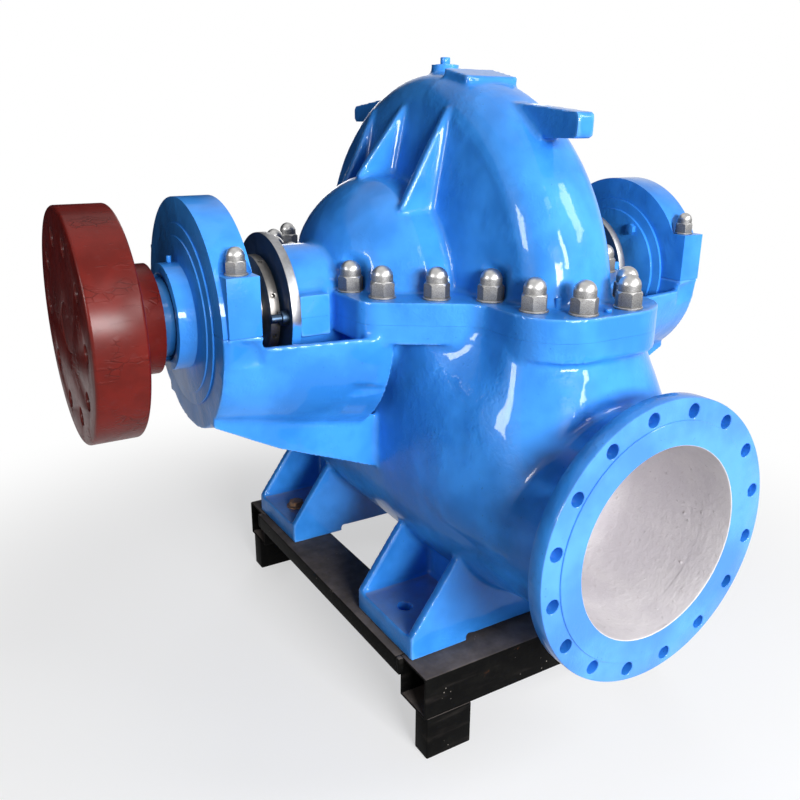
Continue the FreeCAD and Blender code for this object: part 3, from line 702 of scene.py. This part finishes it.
# Where each rib's tip lies along the branches, and how far from the middle its corners are
RIB_TIPS = ((-0.144, 0.124), (0.021, 0.129), (0.166, 0.119))
RIB_TIP_HEIGHT = 0.36
RIB_TIP_HALF_WIDTH = 0.0115
RIB_TIP_DRAW = 0.016
SUCTION_BORE = 0.193
DISCHARGE_BORE = 0.168
LINING_REACH = 0.006
SUCTION_NECK = 0.25
DISCHARGE_NECK = 0.24
SUCTION_FLANGE = 0.039
DISCHARGE_FLANGE = 0.036
NECK_OVERLAP = 0.004


class PUMP_OT_castings(bpy.types.Operator):
    """Cast the casing with its branches, brackets, feet, ribs and lugs, and part it at the split flange"""

    bl_idname = "pump.castings"
    bl_label = "Castings"

    def execute(self, context):
        suction = copy_of("suction_neck", "suction_branch")
        cut_flat(suction, (0, SUCTION_FACE + SUCTION_FLANGE + NECK_OVERLAP, 0), (0, -1, 0))
        discharge = copy_of("discharge_neck", "discharge_branch")
        cut_flat(discharge, (0, DISCHARGE_FACE - DISCHARGE_FLANGE - NECK_OVERLAP, 0), (0, 1, 0))
        nodes = ("lower_casing", "drive_bracket", "far_bracket", "suction_feet", "discharge_feet")
        body = copy_of("casing_body", "upper_casing", *nodes)
        self.narrow_rib_tips(body)
        self.slope_cap_seats(body)
        lower = join("lower_casting", [body, suction, discharge])
        cast_skin(lower)
        upper = lower.copy()
        upper.data = lower.data.copy()
        upper.name = "upper_casting"
        context.scene.collection.objects.link(upper)
        cut_flat(lower, (0, 0, SPLIT_Z - JOINT_GAP / 2), (0, 0, 1))
        cut_flat(upper, (0, 0, SPLIT_Z + JOINT_GAP / 2), (0, 0, -1))
        thin_out(lower)
        thin_out(upper)
        wear(lower, "cast_enamel", "lining")
        line_bores(lower)
        wear(upper, "cast_enamel")
        seat(lower, STILL, "blue_enamel", *nodes)
        seat(upper, STILL, "blue_enamel", "upper_casing")
        return {"FINISHED"}

    def slope_cap_seats(self, body):
        """Slopes the blocks under the bearing caps' lugs into the sides of the brackets"""
        for vertex in body.data.vertices:
            across = vertex.co.y - SHAFT_Y
            if vertex.co.z < SPLIT_Z - 0.010 and abs(abs(across) - SEAT_HALF_WIDTH) < 0.0006:
                vertex.co.y = SHAFT_Y + math.copysign(SEAT_ROOT_HALF_WIDTH, across)

    def narrow_rib_tips(self, body):
        """Draws the outer corners of the ribs' tips in towards the dome"""
        for vertex in body.data.vertices:
            across = vertex.co.x - MIDDLE_X
            high = vertex.co.z > SPLIT_Z + RIB_TIP_HEIGHT
            for y, reach in RIB_TIPS:
                beside = abs(vertex.co.y - y) < RIB_TIP_HALF_WIDTH
                if high and beside and abs(abs(across) - reach) < 0.001:
                    vertex.co.x -= math.copysign(RIB_TIP_DRAW, across)


# Branch flanges


FLANGE_HOLES = 16
HOLE_CHAMFER = 0.0012
FILLET_STEPS = 5


def revolve(name, profile, centre, axis, steps):
    """Spins a profile of (along, radius) points round an axis through centre"""
    mesh = bpy.data.meshes.new(name)
    piece = bpy.data.objects.new(name, mesh)
    bpy.context.scene.collection.objects.link(piece)
    x, y, z = Vector((1, 0, 0)), Vector((0, 1, 0)), Vector((0, 0, 1))
    way = {"X": x, "Y": y, "Z": z}[axis]
    side = z if axis == "X" else x
    points = [Vector(centre) + way * along + side * radius for along, radius in profile]
    mesh.from_pydata(points, [(i, i + 1) for i in range(len(points) - 1)], [])
    edit(piece)
    bpy.ops.mesh.spin(steps=steps, angle=2 * math.pi, center=centre, axis=way, dupli=False)
    bpy.ops.mesh.select_all(action="SELECT")
    bpy.ops.mesh.remove_doubles(threshold=1e-5)
    bpy.ops.mesh.normals_make_consistent(inside=False)
    done()
    return piece


def hole_cutters(centre, circle, radius, low, high):
    """Cylinders with flared ends on a flange's bolt circle, for cutting chamfered holes"""
    cutters = []
    flare = radius + 2 * HOLE_CHAMFER
    profile = [(low - HOLE_CHAMFER, 0), (low - HOLE_CHAMFER, flare), (low + HOLE_CHAMFER, radius)]
    profile += [(high - HOLE_CHAMFER, radius), (high + HOLE_CHAMFER, flare), (high + HOLE_CHAMFER, 0)]
    for i in range(FLANGE_HOLES):
        angle = 2 * math.pi * (i + 0.5) / FLANGE_HOLES
        place = (centre[0] + circle * math.cos(angle), centre[1], centre[2] + circle * math.sin(angle))
        cutters.append(revolve("holes", profile, place, "Y", 24))
    return join("holes", cutters)


def subtract(piece, cutter):
    apply(piece, "BOOLEAN", operation="DIFFERENCE", object=cutter, solver="EXACT")
    bpy.data.objects.remove(cutter)


def branch_flange(side, face_y, out, outer, thickness, raised, bore, neck, hole, circle):
    """A turned flange with a raised face, a fillet at its neck and a ring of bolt holes"""
    step = 0.003
    edge = 0.003
    root = 0.012
    profile = [(step + 0.0012, bore - 0.0002), (0.0012, bore + 0.0004), (0.0, bore + 0.0016)]
    profile += [(0.0, raised - 0.0012), (0.0012, raised), (step, raised)]
    profile += [(step, outer - edge), (step + edge * 0.3, outer - edge * 0.3), (step + edge, outer)]
    profile += [(thickness - edge, outer), (thickness - edge * 0.3, outer - edge * 0.3)]
    profile.append((thickness, outer - edge))
    for i in range(FILLET_STEPS + 1):
        angle = math.radians(90 * i / FILLET_STEPS)
        profile.append((thickness + root - root * math.cos(angle), neck + root - root * math.sin(angle)))
    profile += [(thickness + root + 0.010, neck - 0.0030), (thickness + root + 0.010, bore - 0.0002)]
    profile.append(profile[0])
    placed = [(-out * along, radius) for along, radius in profile]
    centre = (MIDDLE_X, face_y, BRANCH_Z)
    piece = revolve(side + "_flange", placed, centre, "Y", 160)
    low, high = sorted((-out * step, -out * thickness))
    subtract(piece, hole_cutters(centre, circle, hole, low, high))
    smooth(piece, 30)
    wear(piece, "flange_enamel", "lining", "enamel")
    for polygon in piece.data.polygons:
        spot = polygon.center
        across = math.hypot(spot.x - MIDDLE_X, spot.z - BRANCH_Z)
        if across < bore + 0.0010:
            polygon.material_index = 1
        elif abs(spot.y - face_y) > step + 0.004:
            polygon.material_index = 2
    seat(piece, STILL, "flange_blue", side + "_branch")


class PUMP_OT_branch_flanges(bpy.types.Operator):
    """Turn the suction and discharge flanges with their bolt holes"""

    bl_idname = "pump.branch_flanges"
    bl_label = "Branch flanges"

    def execute(self, context):
        branch_flange(
            "suction", SUCTION_FACE, -1, outer=0.2825, thickness=SUCTION_FLANGE, raised=0.241,
            bore=SUCTION_BORE, neck=0.224, hole=0.014, circle=0.2575,
        )
        branch_flange(
            "discharge", DISCHARGE_FACE, 1, outer=0.2525, thickness=DISCHARGE_FLANGE, raised=0.214,
            bore=DISCHARGE_BORE, neck=0.198, hole=0.0115, circle=0.230,
        )
        return {"FINISHED"}


# Dome nuts


CAP_NUT_SCALE = 0.80
HEX_HEIGHT = 0.029
WASHER = 0.004
DOME_SHARE = 0.470
DOME_STEPS = 12


def dome_nut():
    """One dome nut on its washer, standing at the origin"""
    flats = sizes().nut_flats
    hex_top = WASHER + HEX_HEIGHT
    bpy.ops.mesh.primitive_cylinder_add(
        vertices=6, radius=flats / math.sqrt(3), depth=HEX_HEIGHT, location=(0, 0, WASHER + HEX_HEIGHT / 2)
    )
    hexagon = bpy.context.object
    settle(hexagon)
    apply(hexagon, "BEVEL", width=0.0008, segments=2, limit_method="ANGLE", angle_limit=math.radians(40))
    round_off = [
        (WASHER - 0.001, 0), (WASHER - 0.001, flats * 0.60), (WASHER + HEX_HEIGHT * 0.80, flats * 0.60),
        (hex_top + 0.002, flats * DOME_SHARE), (hex_top + 0.002, 0),
    ]
    limit = revolve("round_off", round_off, (0, 0, 0), "Z", 48)
    apply(hexagon, "BOOLEAN", operation="INTERSECT", object=limit, solver="EXACT")
    bpy.data.objects.remove(limit)
    radius = flats * DOME_SHARE
    base = WASHER + sizes().nut_height - radius
    profile = [(hex_top - 0.004, radius * 0.99), (hex_top + 0.0004, radius * 0.99), (base, radius)]
    for i in range(1, DOME_STEPS + 1):
        angle = math.pi / 2 * i / DOME_STEPS
        profile.append((base + radius * math.sin(angle), radius * math.cos(angle) if i < DOME_STEPS else 0))
    dome = revolve("dome", profile, (0, 0, 0), "Z", 40)
    rim = sizes().washer_radius
    flat = [(0, 0.012), (0, rim - 0.0006), (0.0006, rim), (WASHER - 0.0008, rim), (WASHER, rim - 0.0008)]
    flat += [(WASHER, 0.012), (0, 0.012)]
    ring = revolve("washer", flat, (0, 0, 0), "Z", 40)
    nut = join("dome_nut", [hexagon, dome, ring])
    smooth(nut, 28)
    return nut


def islands(node):
    """Lowest and highest corner of each separate solid of a CAD node"""
    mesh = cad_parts[node].data
    keys = [tuple(round(c, 5) for c in vertex.co) for vertex in mesh.vertices]
    parent = {key: key for key in keys}

    def root(key):
        while parent[key] != key:
            parent[key] = parent[parent[key]]
            key = parent[key]
        return key

    for polygon in mesh.polygons:
        first = root(keys[polygon.vertices[0]])
        for vertex in polygon.vertices[1:]:
            parent[root(keys[vertex])] = first
    groups = {}
    for key, vertex in zip(keys, mesh.vertices):
        groups.setdefault(root(key), []).append(vertex.co)
    boxes = []
    for members in groups.values():
        low = Vector([min(p[k] for p in members) for k in range(3)])
        high = Vector([max(p[k] for p in members) for k in range(3)])
        boxes.append((low, high))
    return sorted(boxes, key=lambda pair: tuple(pair[0]))


def nuts_on(name, node, pattern, seed, scale=1.0):
    """Copies the dome nut to each nut of a CAD node, each turned its own way"""
    turns = random.Random(seed)
    copies = []
    for low, high in islands(node):
        nut = pattern.copy()
        nut.data = pattern.data.copy()
        bpy.context.scene.collection.objects.link(nut)
        nut.location = ((low.x + high.x) / 2, (low.y + high.y) / 2, low.z)
        nut.rotation_euler.z = turns.uniform(0, math.pi / 3)
        nut.scale = (scale, scale, scale)
        settle(nut)
        copies.append(nut)
    piece = join(name, copies)
    wear(piece, "nut_steel")
    seat(piece, STILL, "stainless", node)


class PUMP_OT_dome_nuts(bpy.types.Operator):
    """Set the dome nuts on the split flange and the bearing caps"""

    bl_idname = "pump.dome_nuts"
    bl_label = "Dome nuts"

    def execute(self, context):
        pattern = dome_nut()
        nuts_on("flange_nuts", "casing_nuts", pattern, 3)
        for end, seed in (("drive", 5), ("far", 7)):
            nuts_on(end + "_nuts", end + "_cap_nuts", pattern, seed, CAP_NUT_SCALE)
        bpy.data.objects.remove(pattern)
        return {"FINISHED"}


# Machined pieces


# Each piece's name, body, slot, look, CAD node and broken edge, for both ends
END_PIECES = (
    ("_inner_ring", *ENAMELLED, "_inner_cover", 0.0015),
    ("_gland_ring", STILL, "machined_steel", "gland", "_gland", 0.001),
    ("_gland_nuts", STILL, "stainless", "blued_steel", "_gland_bolts", 0.0008),
    ("_ball_bearing", STILL, "bearing_steel", "dark_steel", "_bearing", 0.001),
    ("_ring_screws", *ENAMELLED, "_cover_screws", 0.0008),
    ("_lock_ring", TURNING, "machined_steel", "dark_steel", "_sleeve_nut", 0.001),
)
DOWEL_HEIGHT_SHARE = 0.25
COVER_STEPS = 0.0165
COVER_STEP_SHARE = 0.55


class PUMP_OT_bearings(bpy.types.Operator):
    """Finish the bearings with their caps and covers, the glands, screws and pins, and the shaft"""

    bl_idname = "pump.bearings"
    bl_label = "Bearings and glands"

    def execute(self, context):
        for end in ("drive", "far"):
            cap = end + "_bearing_cap"
            machined_copy(end + "_cap_casting", *ENAMELLED, cap, 0.004, 3)
            self.outer_cover(end)
            for label, body, slot, look, node, edge in END_PIECES:
                machined_copy(end + label, body, slot, look, end + node, edge)
        machined_copy("grease_fitting", *ENAMELLED, "grease_nipple", 0.0006)
        machined_copy("vent_screw", *ENAMELLED, "vent_plug", 0.001)
        dowels = machined_copy("dowel_pins", *ENAMELLED, "guide_pins", 0.001)
        for vertex in dowels.data.vertices:
            vertex.co.z = FLANGE_TOP + (vertex.co.z - FLANGE_TOP) * DOWEL_HEIGHT_SHARE
        self.slotted_pin()
        machined_copy("bare_shaft", TURNING, "machined_steel", "turned_steel", "shaft", 0.001)
        machined_copy("wear_sleeves", TURNING, "machined_steel", "dark_steel", "shaft_sleeves", 0.001)
        return {"FINISHED"}

    def outer_cover(self, end):
        """A bearing cover with its collar; thick enamel lowers the steps of the drive end's plate"""
        cover = machined_copy(end + "_outer_cover", *ENAMELLED, end + "_cover")
        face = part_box("drive_bearing")[0][0]
        for vertex in cover.data.vertices:
            away = vertex.co.x - face
            if abs(away) < COVER_STEPS:
                vertex.co.x = face + away * COVER_STEP_SHARE

    def slotted_pin(self):
        """The painted pin with a slotted head between two of the front nuts"""
        x, y = PIN_PLACE
        base = FLANGE_TOP - 0.002
        profile = [(0, 0), (0, 0.0062), (0.022, 0.0062), (0.0235, 0.005), (0.0235, 0)]
        pin = revolve("slotted_pin", profile, (x, y, base), "Z", 24)
        bpy.ops.mesh.primitive_cube_add(size=1, location=(x, y, base + 0.024))
        slot = bpy.context.object
        slot.scale = (0.0018, 0.02, 0.007)
        slot.rotation_euler.z = math.radians(25)
        settle(slot)
        subtract(pin, slot)
        dress(pin, *ENAMELLED)


SHAFT_RADIUS = 0.050
DEFLECTOR_RADIUS = 0.080


class PUMP_OT_coupling(bpy.types.Operator):
    """Finish the coupling half, the painted shaft end in it and the deflector behind it"""

    bl_idname = "pump.coupling"
    bl_label = "Coupling half"

    def execute(self, context):
        machined_copy("coupling_disc", TURNING, "red_oxide", "red_oxide", "coupling_half", 0.002)
        face = coupling_low.x
        hub_end = coupling_high.x
        shaft_end = shaft_low.x
        centre = (0, SHAFT_Y, SHAFT_Z)
        radius = SHAFT_RADIUS - 0.0004
        profile = [(shaft_end - 0.002, 0), (shaft_end - 0.002, radius), (face + 0.0022, radius)]
        profile += [(face + 0.0012, radius - 0.001), (face + 0.0010, 0)]
        plug = revolve("shaft_end", profile, centre, "X", 64)
        dress(plug, TURNING, "red_oxide", "red_oxide")
        rim = DEFLECTOR_RADIUS
        profile = [(hub_end - 0.001, SHAFT_RADIUS), (hub_end - 0.001, rim - 0.006), (hub_end + 0.004, rim)]
        profile += [(hub_end + 0.026, rim), (hub_end + 0.030, rim - 0.003), (hub_end + 0.030, SHAFT_RADIUS)]
        profile.append(profile[0])
        ring = revolve("shaft_deflector", profile, centre, "X", 96)
        # Painted shade: the deflector wears the darker copy of the enamel, for the shade between hub and
        # collar
        dress(ring, TURNING, "blue_enamel", "navy_enamel")
        return {"FINISHED"}


PLATE_THICKNESS = 0.013
PLATE_WIDTH = 0.016


class PUMP_OT_stand(bpy.types.Operator):
    """Finish the steel frame and the foundation bolt"""

    bl_idname = "pump.stand"
    bl_label = "Steel frame"

    def execute(self, context):
        for node in ("suction_beam", "discharge_beam", "drive_side_beam", "far_side_beam"):
            machined_copy(node + "_steel", STILL, "frame_black", "frame_black", node, 0.004, 3)
        self.welds()
        for node in ("leg_drive_suction", "leg_far_suction", "leg_drive_discharge", "leg_far_discharge"):
            machined_copy(node + "_steel", STILL, "frame_black", "frame_black", node, 0.003)
        machined_copy("anchor_bolt", STILL, "rusty_bolt", "rusty_bolt", "foundation_bolt", 0.001)
        return {"FINISHED"}

    def welds(self):
        """Plates with a weld bead that close the corners between side beams and cross beams"""
        plates = []
        for side_node, way in (("drive_side_beam", -1), ("far_side_beam", 1)):
            low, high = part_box(side_node)
            outer = low[0] if way < 0 else high[0]
            for y, along in ((low[1], -1), (high[1], 1)):
                bpy.ops.mesh.primitive_cube_add(size=1)
                plate = bpy.context.object
                plate.scale = (PLATE_THICKNESS, PLATE_WIDTH, high[2] - low[2])
                middle = (outer - way * PLATE_THICKNESS / 2, y + along * 0.006, (low[2] + high[2]) / 2)
                plate.location = middle
                settle(plate)
                plates.append(plate)
        piece = join("corner_welds", plates)
        apply(piece, "BEVEL", width=0.003, segments=3)
        apply(piece, "SUBSURF", levels=3, subdivision_type="SIMPLE")
        beads = cloud_texture("weld_beads", 0.008)
        apply(piece, "DISPLACE", texture=beads, strength=0.0022, mid_level=0.6, texture_coords="LOCAL")
        pick(piece)
        bpy.ops.object.shade_smooth()
        wear(piece, "frame_black")
        seat(piece, STILL, "frame_black")


# Stage


CAMERA_PLACE = (-1.00438, -1.62898, 1.27897)
CAMERA_TURN = (71.217, -0.273, -31.079)
CAMERA_LENS = 37.139
SENSOR_WIDTH = 36.0
FILL_LIGHT = 0.09
FLOOR_FADE = (0.9, 2.0)
# Each lamp's name, place, target, width, height and power
LAMPS = (
    ("key", (-0.5, -6.0, 2.3), (0, 0, 0.8), 2.8, 1.3, 540),
    ("window", (2.6, -2.9, 3.5), (0.1, -0.2, 1.1), 0.8, 1.8, 64),
    ("side", (-3.6, -1.2, 1.9), (0, 0, 0.8), 1.2, 2.0, 4),
    ("top", (-0.4, 0.2, 4.2), (0, 0, 0.6), 2.0, 2.0, 6),
    ("rear", (2.2, 3.6, 1.1), (0, 0, 0.8), 2.0, 1.6, 40),
)
GLOSS_LAMPS = (
    ("chest_gloss", (-3.6, -0.5, 2.0), (-0.08, -0.48, 0.80), 0.8, 1.0, 60),
    ("crown_gloss", (1.25, -3.9, 2.7), (0.06, -0.45, 1.06), 0.34, 1.2, 44),
    ("rim_gloss", (0.15, -2.9, 3.8), (-0.69, -0.18, 1.0), 1.4, 0.6, 12),
)
CARD_PLACE = Vector((-2.2, 2.7, 2.32))
CARD_TURN = math.radians(14)
CARD_WIDTH = 8.0
CARD_HEIGHT = 4.6
CARD_SIDE_FADE = 1.1
CARD_TOP_FADE = 0.9


def area_lamp(name, place, target, width, height, energy):
    lamp = bpy.data.lights.new(name, "AREA")
    lamp.shape = "RECTANGLE"
    lamp.size = width
    lamp.size_y = height
    lamp.energy = energy
    holder = bpy.data.objects.new(name, lamp)
    holder.location = place
    holder.rotation_euler = (Vector(target) - Vector(place)).to_track_quat("-Z", "Y").to_euler()
    bpy.context.scene.collection.objects.link(holder)
    return holder


class PUMP_OT_stage(bpy.types.Operator):
    """Set the camera, the lamps, the pale floor and the white surroundings"""

    bl_idname = "pump.stage"
    bl_label = "Stage"

    def execute(self, context):
        scene = context.scene
        scene.view_settings.view_transform = "Standard"
        lens = bpy.data.cameras.new("photo_camera")
        lens.lens = CAMERA_LENS
        lens.sensor_width = SENSOR_WIDTH
        camera = bpy.data.objects.new("photo_camera", lens)
        camera.location = CAMERA_PLACE
        camera.rotation_euler = Euler([math.radians(a) for a in CAMERA_TURN], "XYZ")
        scene.collection.objects.link(camera)
        scene.camera = camera
        for settings in LAMPS:
            area_lamp(*settings)
        for settings in GLOSS_LAMPS:
            area_lamp(*settings).visible_diffuse = False
        self.floor()
        self.card()
        self.surroundings(scene)
        return {"FINISHED"}

    def floor(self):
        """A pale floor that keeps the shadow and fades into the white surroundings"""
        bpy.ops.mesh.primitive_plane_add(size=60, location=(0, 0, 0))
        floor = bpy.context.object
        floor.name = "floor"
        paint = Paint("pale_floor", Roughness=0.95, Specular_IOR_Level=0.0)
        pale = paint.mix(paint.noise(0.4, 2.0), (0.40,) * 3, (0.43,) * 3)
        paint.feed(Base_Color=pale)
        bright = paint.tree.nodes.new("ShaderNodeBsdfDiffuse")
        bright.inputs["Color"].default_value = (0.92, 0.92, 0.92, 1)
        glow = paint.tree.nodes.new("ShaderNodeEmission")
        away = paint.node("ShaderNodeVectorMath", {"operation": "LENGTH"}, {0: paint.place}, "Value")
        near = paint.blend(0.55 + 0.45 * away.band(*FLOOR_FADE), bright.outputs[0], glow.outputs[0])
        whole = paint.blend(paint.seen_rays(), paint.shader.outputs[0], near)
        paint.tree.links.new(whole, paint.tree.nodes["Material Output"].inputs["Surface"])
        floor.data.materials.append(paint.material)

    def card(self):
        """A dark card beyond the drive end that only gloss sees, for depth in the faces turned that way"""
        turn = (math.radians(90), 0, CARD_TURN)
        bpy.ops.mesh.primitive_plane_add(size=1, location=CARD_PLACE, rotation=turn)
        card = bpy.context.object
        card.name = "dark_card"
        card.scale = (CARD_WIDTH, CARD_HEIGHT, 1)
        settle(card)
        for sight in ("camera", "diffuse", "shadow", "transmission", "volume_scatter"):
            setattr(card, "visible_" + sight, False)
        paint = Paint("dark_card", Specular_IOR_Level=0.0, Roughness=0.9, Base_Color=(0.015, 0.02, 0.03, 1))
        right, back = paint.axis("X") - CARD_PLACE.x, paint.axis("Y") - CARD_PLACE.y
        across = right * math.cos(CARD_TURN) + back * math.sin(CARD_TURN)
        above = paint.axis("Z") - CARD_PLACE.z
        inside = across.most(0 - across).band(CARD_WIDTH / 2, CARD_WIDTH / 2 - CARD_SIDE_FADE)
        inside = inside * above.band(CARD_HEIGHT / 2, CARD_HEIGHT / 2 - CARD_TOP_FADE)
        paint.feed(Alpha=inside)
        card.data.materials.append(paint.material)

    def surroundings(self, scene):
        """White for what the camera, gloss and glass see, and a weaker fill for the rest"""
        world = bpy.data.worlds.new("surroundings")
        scene.world = world
        world.use_nodes = True
        sky = WorldPaint(world)
        sky.feed(Color=(1, 1, 1, 1), Strength=FILL_LIGHT + (1 - FILL_LIGHT) * sky.seen_rays())


class PUMP_PT_panel(bpy.types.Panel):
    """Lists the operators that dress the pump"""

    bl_label = "Split case pump"
    bl_idname = "PUMP_PT_panel"
    bl_space_type = "VIEW_3D"
    bl_region_type = "UI"
    bl_category = "Pump"

    def draw(self, context):
        column = self.layout.column()
        for group in (context.scene.pump_sizes, context.scene.pump_colours):
            for name in type(group).__annotations__:
                column.prop(group, name)
        for operator in OPERATORS:
            column.operator(operator.bl_idname)


OPERATORS = (
    PUMP_OT_stage,
    PUMP_OT_castings,
    PUMP_OT_branch_flanges,
    PUMP_OT_dome_nuts,
    PUMP_OT_bearings,
    PUMP_OT_coupling,
    PUMP_OT_stand,
)
CLASSES = (PumpSizes, PumpColours, *OPERATORS, PUMP_PT_panel)


def register():
    for cls in CLASSES:
        bpy.utils.register_class(cls)
    bpy.types.Scene.pump_sizes = bpy.props.PointerProperty(type=PumpSizes)
    bpy.types.Scene.pump_colours = bpy.props.PointerProperty(type=PumpColours)


def unregister():
    del bpy.types.Scene.pump_colours
    del bpy.types.Scene.pump_sizes
    for cls in reversed(CLASSES):
        bpy.utils.unregister_class(cls)


def main():
    register()
    make_materials()
    for operator in OPERATORS:
        group, name = operator.bl_idname.split(".")
        getattr(getattr(bpy.ops, group), name)()


if __name__ == "__main__":
    main()
